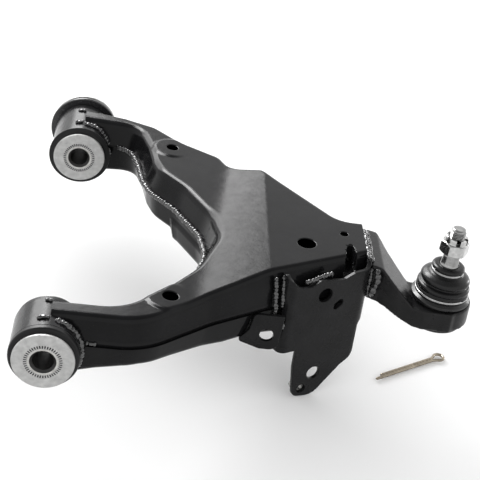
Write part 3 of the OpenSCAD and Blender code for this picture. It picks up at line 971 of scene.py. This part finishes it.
def washer_piece(node, body):
    """A pressed zinc washer with a ring of bite teeth round its bore."""
    low, high = box_mm(node)
    radius = high[2]
    faces_front = "outer" in node
    base = SLEEVE_R + 0.02
    thick = 3.0
    line = [
        (base, 0), (radius, 0, 0.7), (radius, thick, 1.0), (16.9, thick, 0.2), (16.5, thick, 0.2),
        *((r, thick, 0.1) for r in (16.0, 15.4, 14.8, 14.2, 13.8, 13.4)), (base, thick, 0.15),
    ]
    back = high[1] if faces_front else low[1]
    place = facing_front(back) if faces_front else facing_rear(back)
    points, _ = profile_arcs(line)
    turn = full_turn(TEETH * 8)
    ridge = np.clip(np.cos(TEETH * turn) * 1.8, -0.9, 1)
    r = points[:, :1] * np.ones(len(turn))
    z = points[:, 1:] * np.ones(len(turn))
    window = smooth(r, 13.5, 13.9) * (1 - smooth(r, 15.9, 16.4)) * (z > 2.5)
    z = z + window * (0.12 + 0.42 * ridge)
    dish = (z > 2.5) * 0.25 * smooth(r, radius - 3.5, radius - 1)
    z = z - dish
    co = placed(around_axis(r, z, turn), place)
    faces = ring_faces(len(points), len(turn))
    obj = make(node + "_pressed", co, faces, body, washer_zinc, slot="washer_zinc", replaces=[node])
    obj.data.materials.append(bite_shadow)
    for face in obj.data.polygons:
        x, y, z = face.center / MM
        r = math.hypot(x, z)
        between_teeth = math.cos(TEETH * math.atan2(z, x)) < -0.15
        if 13.4 < r < 16.2 and abs(y - back) > 2.2 and between_teeth:
            face.material_index = 1
    shade = obj.modifiers.new("shade", "WEIGHTED_NORMAL")
    shade.keep_sharp = True


for side in ("front", "rear"):
    for end in ("outer", "inner"):
        washer_piece(f"{side}_washer_{end}", side + "_sleeve")


# ---- front bracket: one strip folded round two corners ----
BRACKET_TURN = math.radians(28.4)
BRACKET_ROOT = np.array([183.0, 78.6])
BRACKET_REACH = 17.0
BRACKET_T = 4.0
PAD_X = SHELL_END + BRACKET_T
turn_c, turn_s = math.cos(BRACKET_TURN), math.sin(BRACKET_TURN)
FOLD_RIGHT = (PAD_X - BRACKET_ROOT[0] - BRACKET_REACH * turn_s) / turn_c
FOLD_LINE = rounded(
    [(14, 24, 0), (14, 0, 8), (FOLD_RIGHT, 0, 12), (FOLD_RIGHT + 74 * turn_s, 74 * turn_c, 0)], 0.6
)
fold_steps = np.linalg.norm(np.diff(FOLD_LINE, axis=0), axis=1)
FOLD_S = np.concatenate([[0], np.cumsum(fold_steps)])
# shifts the strip's own length so that along the face it is the distance from the root
on_face = np.abs(FOLD_LINE[:, 1]) < 1e-6
FACE_SHIFT = np.interp(40.0, FOLD_LINE[on_face, 0], FOLD_S[on_face]) - 40.0
# its round holes as x along the strip, height and radius
BRACKET_HOLES = [(55, 15, 7), (57, -71, 6.5), (46.5, -87, 4.4)]


def bracket_surface(p):
    """Flat strip to folded plate: x runs along the strip, y is height."""
    s = p[:, 0] + FACE_SHIFT

    def on_fold(at):
        return np.column_stack([np.interp(at, FOLD_S, FOLD_LINE[:, k]) for k in (0, 1)])

    def to_world(v):
        x, y = v[:, 0], v[:, 1]
        return np.column_stack([x * turn_c - y * turn_s, x * turn_s + y * turn_c])

    ahead = on_fold(s + 0.5) - on_fold(s - 0.5)
    ahead /= np.linalg.norm(ahead, axis=1, keepdims=True)
    place = to_world(on_fold(s) - [0, BRACKET_REACH]) + BRACKET_ROOT
    out = to_world(np.column_stack([ahead[:, 1], -ahead[:, 0]]))
    return np.column_stack([place, p[:, 1]]), np.column_stack([out, np.zeros(len(p))])


def grid_in(loop, spacing):
    low, high = loop.min(0), loop.max(0)
    gx, gy = np.meshgrid(
        *(np.arange(low[k] + spacing / 2, high[k], spacing) for k in (0, 1))
    )
    return np.column_stack([gx.ravel(), gy.ravel()])


def bracket_piece():
    """The bracket as a flat strip: x from the root along the face, y as height."""
    side, right = 17.4, FOLD_RIGHT
    outline = [
        (side - 14, -41, 5), (33, -41, 2), (33, -60, 6), (37.5, -94, 8), (60, -97, 16),
        (86, -69, 10), (right - 2.5, -60, 14), (right - 2.5, -24, 4), (right + 8, -20, 4),
        (right + 66, -20, 2), (right + 66, 38, 2), (right + 6, 38, 6), (right - 2, 34, 6),
        (84, 33, 4), (73, 28, 8), (48, 32, 6), (40, 27, 8), (28, 27, 10), (20, 34, 6),
        (side - 8, 40, 4), (side - 13, 38, 2), (side - 6, 9.5, 4), (side - 9, -18, 3),
        (side - 14, -24, 3),
    ]
    loop = resample(rounded(outline, 1.0), 2.2, closed=True)
    slot_corners = [(66.5, -2.6), (70.3, -2.6), (75.6, 1.9), (75.6, 7.0), (71.8, 7.0), (66.5, 2.8)]
    slot = rounded([(x, y, 2.5) for x, y in slot_corners], 0.6)
    holes = [circle(x, y, r, 0.8 if r < 5 else 1.0) for x, y, r in BRACKET_HOLES] + [slot]
    extra = np.vstack(
        [grid_in(loop, 2.4)] + [circle(x, y, r + 1.6, 1.4) for x, y, r in BRACKET_HOLES]
    )
    return plate(
        "front_bracket_folded", loop, holes, extra, bracket_surface, BRACKET_T, 0.7, "arm",
        bracket_paint, slot="bracket_paint", replaces=["front_bracket"],
    )


bracket_piece()


def tab_piece():
    """The small tab below the seam, cut from flat plate."""
    low, high = box_mm("tie_tab")
    outline = [
        (163, -24, 3), (184, -31, 8), (200, -31, 8), (203, 5, 0), (176, 5, 4), (173, -12, 12),
    ]
    loop = resample(rounded(outline, 1.0), 2.0, closed=True)

    def surface(p):
        front = np.column_stack([p[:, 0], np.full(len(p), low[1]), p[:, 1]])
        return front, np.tile([0.0, -1.0, 0.0], (len(p), 1))

    return plate(
        "tie_tab_cut", loop, [circle(189, -16, 6.3)], grid_in(loop, 3), surface, high[1] - low[1],
        0.6, "arm", bracket_paint, slot="bracket_paint", replaces=["tie_tab"],
    )


tab_piece()


# ---- forged end: the CAD solid with forging radii on every edge ----
def forged_copy(node, name, voxel, rounds, material):
    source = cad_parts[node]
    mesh = source.data.copy()
    mesh.materials.clear()
    obj = new_object(name, mesh)
    remesh = obj.modifiers.new("remesh", "REMESH")
    remesh.mode = "VOXEL"
    remesh.voxel_size = voxel * MM
    soften = obj.modifiers.new("soften", "SMOOTH")
    soften.factor = 0.5
    soften.iterations = rounds
    settled = bpy.data.meshes.new_from_object(
        obj.evaluated_get(bpy.context.evaluated_depsgraph_get())
    )
    obj.modifiers.clear()
    obj.data = settled
    settled.materials.clear()
    settled.materials.append(material)
    settled.polygons.foreach_set("use_smooth", [True] * len(settled.polygons))
    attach(obj, "arm")
    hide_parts(node)


forged_copy("forged_arm", "forged_end", 1.1, 5, forging_paint)


# ---- ball joint ----
turned(
    "ball_housing_turned",
    [
        (18, -11, 0.4), (22, -11, 0.3), (22, -16, 0.3), (25, -16, 0.8), (25, 9, 0.3),
        (27.4, 9, 1.0), (27.4, 12, 1.0), (24.4, 14, 0.6), (22.8, 14, 0.3), (22.8, 18, 0.5),
        (16, 18, 0.5), (16, 14, 0.5), (18, 9, 0.5),
    ],
    BALL_FRAME, "arm", housing_paint, slot="housing_paint", replaces=["ball_housing"],
)


def smooth_line(points, step=0.6):
    """A flowing open line through points (Catmull-Rom), with points about step apart."""
    points = np.array(points, float)
    padded = np.vstack([2 * points[0] - points[1], points, 2 * points[-1] - points[-2]])
    out = []
    for a, b, c, d in zip(padded[:-3], padded[1:-2], padded[2:-1], padded[3:]):
        count = max(2, int(np.linalg.norm(c - b) / step))
        for k in range(count):
            t = k / count
            square, cube = 2 * a - 5 * b + 4 * c - d, 3 * b - a - 3 * c + d
            out.append(0.5 * ((2 * b) + (c - a) * t + square * t**2 + cube * t**3))
    out.append(points[-1])
    return np.array(out)


def skin(name, line, wall, place, body, material, **more):
    """A thin turned skin whose outside follows line, from low to high, with flat ends."""
    out = -left_normals(line, False)
    loop = np.vstack([line, (line - out * wall)[::-1]])
    way = np.vstack([out, -out[::-1]])
    turn = full_turn(SEGMENTS)
    points = placed(around_axis(loop[:, :1], loop[:, 1:], turn), place)
    normals = around_axis(way[:, :1], way[:, 1:], turn) @ place[:3, :3].T
    return make(name, points, ring_faces(len(loop), SEGMENTS), body, material, normals, **more)


BOOT = smooth_line(
    [
        (24.5, 14.3), (24.7, 15.4), (23.9, 16.0), (23.9, 17.2), (24.5, 17.9), (24.3, 18.8),
        (23.6, 19.5), (23.5, 20.4), (24.3, 21.6), (24.5, 23.0), (23.6, 24.6), (21.6, 25.6),
        (20.7, 26.4), (20.9, 27.4), (22.2, 28.3), (22.9, 29.6), (22.6, 31.4), (21.2, 33.2),
        (18.6, 34.8), (16.2, 35.8), (14.9, 36.6), (14.3, 37.4), (13.75, 38.0), (13.75, 39.0),
        (14.9, 39.8), (15.4, 41.2), (14.9, 42.8), (13.2, 43.9), (11.0, 44.3), (9.6, 44.1),
        (9.25, 43.2),
    ],
    0.5,
)
boot_split = int(np.argmin(np.abs(BOOT[:, 1] - 25.5)))
ball_axis = BALL_FRAME[:3, 2]


BOOT_WALL = 1.6
boot_lower = skin(
    "dust_boot_lower", BOOT[: boot_split + 1], BOOT_WALL, BALL_FRAME, None, boot_rubber,
    slot="boot_rubber", replaces=["dust_boot"],
)
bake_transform(boot_lower)
boot_upper = skin(
    "dust_boot_upper", BOOT[boot_split:], BOOT_WALL, BALL_FRAME, None, boot_rubber,
    slot="boot_rubber", replaces=["dust_boot"],
)
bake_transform(boot_upper)


def wire_clip(name, radius, height, wire, turns, body, node):
    """A round-wire spring ring whose ends overlap by a little."""
    count = int(150 * turns)
    points, faces = [], []
    around = 12
    for i in range(count + 1):
        t = i / count
        angle = math.radians(200) + t * turns * 2 * math.pi
        rise = wire * 0.9 * (t * turns - turns / 2)
        for k in range(around):
            a = 2 * math.pi * k / around
            r = radius + wire / 2 * math.cos(a)
            z = height + rise + wire / 2 * math.sin(a)
            points.append((r * math.cos(angle), r * math.sin(angle), z))
    for i in range(count):
        for k in range(around):
            j = (k + 1) % around
            row, above = i * around, (i + 1) * around
            faces.append([row + k, above + k, above + j, row + j])
    faces.append(list(range(around)))
    faces.append([count * around + k for k in range(around)][::-1])
    points = placed(np.array(points), BALL_FRAME)
    return make(name, points, faces, body, clip_steel, slot="clip_steel", replaces=[node])


wire_clip("lower_boot_wire", 24.7, 16.6, 1.0, 1.3, "arm", "lower_boot_clip")
wire_clip("upper_boot_wire", 14.5, 38.5, 1.0, 1.3, "boot_collar", "upper_boot_clip")


def thread_radius(turn, height, outer, pitch, depth, low, high):
    """Radius of a screw thread's surface, fading out at both ends."""
    phase = (height / pitch - turn / (2 * math.pi)) % 1.0
    ridge = np.clip(1.25 - np.abs(phase - 0.5) * 3.2, 0, 1)
    fade = smooth(height, low, low + pitch) * (1 - smooth(height, high - pitch * 0.6, high))
    return outer - depth * fade * (1 - ridge)


BALL_R = 14
THREAD_R = 7.0
THREAD_PITCH = 1.5
THREAD_DEPTH = 0.85
THREAD_START, THREAD_END = 55.2, 79.7
PIN_HOLE_HEIGHT = 71


def stud_piece():
    """The ball stud: ball, neck, taper, thread and the split pin's cross hole."""
    line = [(0.01, -BALL_R)]
    for k in range(1, 33):
        a = -math.pi / 2 + k * (math.pi / 2 + math.radians(58)) / 32
        line.append((BALL_R * math.cos(a), BALL_R * math.sin(a)))
    line += [(THREAD_R, 13.5), (THREAD_R, 20), (THREAD_R, 30)]
    line += [(9.0, 36), (9.0, 37), (9.0, 44.3), (8.7, 44.9), (8.4, 45.4)]
    line += [(8.4 - 1.2 * t, 45.4 + 9.6 * t) for t in (0.25, 0.5, 0.75, 1.0)]
    line += [(THREAD_R, THREAD_START + 0.2 * k) for k in range(0, 123)]
    line += [(6.6, 80.2), (5.7, 81.3), (5.2, 81.5), (2.5, 81.4), (0.01, 81.3)]
    line = np.array(line)
    turn = full_turn(96)
    r = np.repeat(line[:, :1], len(turn), 1)
    z = np.repeat(line[:, 1:], len(turn), 1)
    threaded = (z > THREAD_START - 0.1) & (z < THREAD_END + 0.1) & (r > 6.5)
    r = np.where(threaded, thread_radius(
        turn[None], z, THREAD_R, THREAD_PITCH, THREAD_DEPTH, THREAD_START, THREAD_END,
    ), r)
    co = placed(around_axis(r, z, turn), BALL_FRAME)
    obj = make(
        "ball_stud_turned", co, ring_faces(len(line), len(turn), closed=False), "stud", stud_zinc,
        slot="stud_zinc", replaces=["ball_stud"],
    )
    hole = new_object("cutter", bpy.data.meshes.new("cutter"))
    shape = bmesh.new()
    bmesh.ops.create_cone(
        shape, cap_ends=True, segments=32, radius1=2 * MM, radius2=2 * MM, depth=30 * MM
    )
    at = BALL_FRAME[:3, 3] + ball_axis * PIN_HOLE_HEIGHT
    shape.transform(Matrix.Translation(Vector(at * MM)) @ Matrix.Rotation(math.pi / 2, 4, "X"))
    shape.to_mesh(hole.data)
    shape.free()
    cut(obj, hole)


def cut(obj, cutter):
    """Takes the cutter's solid out of obj and removes the cutter."""
    work = obj.modifiers.new("cut", "BOOLEAN")
    work.operation = "DIFFERENCE"
    work.solver = "EXACT"
    work.object = cutter
    bpy.context.view_layer.update()
    done = bpy.data.meshes.new_from_object(
        obj.evaluated_get(bpy.context.evaluated_depsgraph_get())
    )
    obj.modifiers.clear()
    obj.data = done
    bpy.data.objects.remove(cutter)
    done.set_sharp_from_angle(angle=math.radians(40))


stud_piece()


NUT_FLATS = 23.4
NUT_BASE = 57
NUT_SLOT_FLOOR = 11.4
NUT_SLOT = (32, 4, 8)


def nut_piece():
    """The castle nut: chamfered hexagon, round crown with six slots, plain bore."""
    line = [
        (7.06, 0.8), (7.9, 0.0), (10.2, 0.0), (11.4, 0.05), (13.6, 1.25), (13.6, 10.0),
        (11.6, 11.1), (10.6, 11.3), (10.4, 11.6), (10.35, 15.7), (9.8, 16.35), (9.2, 16.5),
        (7.9, 16.5), (7.06, 15.7),
    ]
    line = resample(line, 0.6, closed=True)
    turn = full_turn(SEGMENTS)
    flat_side = NUT_FLATS / 2 / np.cos((turn % (math.pi / 3)) - math.pi / 6)
    hexagon = np.minimum(flat_side, NUT_FLATS / math.sqrt(3) - 0.15)
    r = np.minimum(line[:, :1], hexagon[None])
    co = placed(around_axis(r, line[:, 1:] + NUT_BASE, turn), BALL_FRAME)
    faces = [f[::-1] for f in ring_faces(len(line), SEGMENTS)]
    obj = make(
        "castle_nut_cut", co, faces, "nut", nut_zinc, slot="nut_zinc", replaces=["castle_nut"]
    )
    cutter = new_object("slots", bpy.data.meshes.new("slots"))
    shape = bmesh.new()
    for k in range(3):
        box = bmesh.ops.create_cube(shape, size=1)["verts"]
        size = Matrix.Diagonal((*(side * MM for side in NUT_SLOT), 1))
        spin = Matrix.Rotation(math.radians(30 + 60 * k), 4, "Z")
        lift = Matrix.Translation((0, 0, (NUT_BASE + NUT_SLOT_FLOOR + NUT_SLOT[2] / 2) * MM))
        bmesh.ops.transform(shape, verts=box, matrix=lift @ spin @ size)
    tilt = np.eye(4)
    tilt[:3, :3] = BALL_FRAME[:3, :3]
    tilt[:3, 3] = BALL_FRAME[:3, 3] * MM
    shape.transform(Matrix(tilt.tolist()))
    shape.to_mesh(cutter.data)
    shape.free()
    cut(obj, cutter)
    rim = obj.modifiers.new("rim", "BEVEL")
    rim.width = 0.22 * MM
    rim.segments = 2
    rim.limit_method = "ANGLE"
    rim.angle_limit = math.radians(50)
    rim.harden_normals = False


nut_piece()


# ---- split pin ----
def tube_along(name, line, radius, body, material, around=12, **more):
    """A bar along a line of points. radius holds one value per point, or one per point
    and direction."""
    line = np.array(line, float)
    ahead = np.vstack([line[1:2] - line[:1], line[2:] - line[:-2], line[-1:] - line[-2:-1]])
    ahead /= np.linalg.norm(ahead, axis=1, keepdims=True)
    side = np.cross(ahead[0], [0.0, 0.0, 1.0])
    if np.linalg.norm(side) < 1e-3:
        side = np.array([1.0, 0, 0])
    side = unit(side)
    points = []
    radius = np.asarray(radius, float)
    if radius.ndim == 1:
        radius = radius[:, None]
    radius = np.broadcast_to(radius, (len(line), around))
    for i, (place, way) in enumerate(zip(line, ahead)):
        side = unit(side - way * (side @ way))
        up = np.cross(way, side)
        for k in range(around):
            a = 2 * math.pi * k / around
            points.append(place + radius[i, k] * (side * math.cos(a) + up * math.sin(a)))
    faces = ring_faces(len(line), around, closed=False)
    faces.append(list(range(around))[::-1])
    faces.append([(len(line) - 1) * around + k for k in range(around)])
    return make(name, points, faces, body, material, **more)


def split_pin_piece():
    """Round wire doubled back on itself round an open eye, one leg longer."""
    low, high = box_mm("split_pin")
    turn = math.radians(33.6)
    across = np.array([[math.cos(turn), -math.sin(turn)], [math.sin(turn), math.cos(turn)]])
    origin = np.array([307.4, 124.5])
    wire, half, eye = 1.45, 1.5, 5.0
    centre = 82.0
    neck = centre - 8.5
    leg = [(t, -half) for t in np.linspace(0.0, neck, 30)]
    other = [(t, half) for t in np.linspace(neck, 8.0, 28)]
    open_by = math.radians(132)
    loop = [
        (centre + eye * math.cos(a), eye * math.sin(a))
        for a in np.linspace(-open_by, open_by, 20)
    ]
    flat = smooth_line(np.array(leg + loop + other), 0.8)
    world_xy = flat @ across.T + origin
    points = np.column_stack([world_xy, np.full(len(flat), (low[2] + high[2]) / 2)])
    count = np.arange(len(flat))
    taper = np.minimum(1, 0.45 + np.minimum(count, count[::-1]) / 3)
    return tube_along(
        "split_pin_bent", points, wire * taper, "pin", pin_steel, slot="pin_steel",
        replaces=["split_pin"],
    )


split_pin_piece()


# ---- weld beads: overlapping scales along a line ----
def weld(name, line, radius, replaces=(), ripple=3.4, seed=0, step=0.35, wander=0.45):
    """A lumpy bead: each scale swells and the bead wanders a little."""
    line = smooth_line(np.array(line, float), step)
    gap = np.concatenate([[0], np.cumsum(np.linalg.norm(np.diff(line, axis=0), axis=1))])
    random = np.random.default_rng(seed)
    count = int(gap[-1] / ripple) + 3
    swell = random.uniform(0.6, 1.35, count)
    shift = random.uniform(-wander, wander, (count, 3))
    at = gap / ripple
    index = at.astype(int)
    part = at - index
    arch = np.sqrt(np.clip(1 - (2 * part - 1) ** 2, 0, 1))
    scale = 0.66 + 0.44 * arch * (0.6 + 0.4 * swell[index])
    mixed = shift[index] * (1 - part[:, None]) + shift[index + 1] * part[:, None]
    ends = np.minimum(1, 0.3 + np.minimum(gap, gap[-1] - gap) / radius * 0.9)
    around = 14
    turn, along = np.arange(around)[None] * 2 * math.pi / around, at[:, None]
    lumps = 1 + 0.1 * np.sin(3 * turn + 2.1 * along) + 0.07 * np.sin(5 * turn - 3.3 * along)
    radii = radius * (scale * ends)[:, None] * lumps
    return tube_along(
        name, line + mixed, radii, "arm", weld_paint, around=around, slot="weld_paint",
        replaces=replaces,
    )


def tube_arc(y, start, end, r):
    return [
        (r * math.cos(a), y, r * math.sin(a)) for a in np.radians(np.linspace(start, end, 24))
    ]


weld("front_tube_weld_a", tube_arc(-11.6, -36, 78, TUBE_R + 0.3), 2.6, ["front_tube_welds"], seed=1)
weld("front_tube_weld_b", tube_arc(19, -36, 60, TUBE_R + 0.2), 1.9, seed=2)
weld("rear_tube_weld_a", tube_arc(351.4, -36, 90, TUBE_R + 0.3), 2.6, ["rear_tube_welds"], seed=3)
weld("rear_tube_weld_b", tube_arc(387, -36, 60, TUBE_R + 0.2), 1.9, seed=4)
weld("front_saddle_weld_a", [(2, -9, 30.6), (-3, -10.5, 30.4), (-9, -11, 29.2)], 1.7, seed=5)
weld("front_saddle_weld_b", [(2, 15, 30.6), (-2, 16, 30.2), (-5, 17, 29.8)], 1.6, seed=6)
weld("rear_saddle_weld_a", [(2, 355, 30.6), (-3, 353.5, 30.4), (-8, 353, 29.4)], 1.7, seed=7)
weld("rear_saddle_weld_b", [(2, 381, 30.6), (-2, 382, 30.2), (-7, 382, 29.6)], 1.6, seed=8)

weld(
    "bracket_weld_a", [(191, 76, 37), (192, 74, 24), (194, 70.5, 8), (194.5, 70, 2)], 2.0,
    ["bracket_welds"], seed=9,
)
weld("bracket_weld_b", [(198, 80, 37), (199, 77, 24), (200, 74, 8)], 1.9, seed=10)
weld("bracket_weld_c", [(218, 84, 29), (231, 91.5, 31.5), (244, 99, 34)], 2.2, seed=11)
weld("bracket_weld_d", [(277, 119, 40.3), (277.4, 145, 40.6), (277, 172, 40.3)], 1.8, seed=12)
weld(
    "forging_weld_a", [(281, 122, 36), (281.4, 150, 36.2), (281, 176, 36)], 1.8,
    ["forging_welds"], seed=13,
)
weld("forging_weld_b", [(281, 116.6, 32), (281.3, 116.2, 16), (281, 116.6, 2)], 2.0, seed=14)

weld(
    "forging_side_weld",
    [(285, 114.4, 33), (287.4, 113.9, 24), (286.4, 113.9, 14), (284, 114, 4)],
    3.1, seed=18, ripple=5,
)
weld("bracket_foot_weld", [(196, 71, 2), (200, 69.5, -5), (203, 69.5, -11)], 3.0, seed=19)

inner_seam = CHAINS[2]
leg_part = inner_seam[(inner_seam[:, 1] > 112) & (inner_seam[:, 0] > 36) & (inner_seam[:, 1] < 348)]
seam_line = offset_line(leg_part, -0.8)
seam_points = np.column_stack([seam_line, np.full(len(seam_line), SEAM_Z - 0.2)])
weld("seam_weld_inner", seam_points[::3], 2.4, ["seam_welds"], seed=15, ripple=3.2, wander=0.4)
front_seam = CHAINS[0]
front_part = front_seam[(front_seam[:, 0] > 31) & (front_seam[:, 0] < 42)]
weld(
    "seam_weld_front",
    np.column_stack([offset_line(front_part, -0.2), np.full(len(front_part), SEAM_Z - 0.8)]),
    1.8, seed=16,
)


# ---- CAD nodes that are shown as they are ----
for node, material in (
    ("weld_nut", nut_steel), ("bearing_liner", liner_plastic), ("pressure_seat", liner_plastic),
    ("closing_plate", housing_paint),
):
    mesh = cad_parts[node].data
    mesh.materials.clear()
    mesh.materials.append(material)
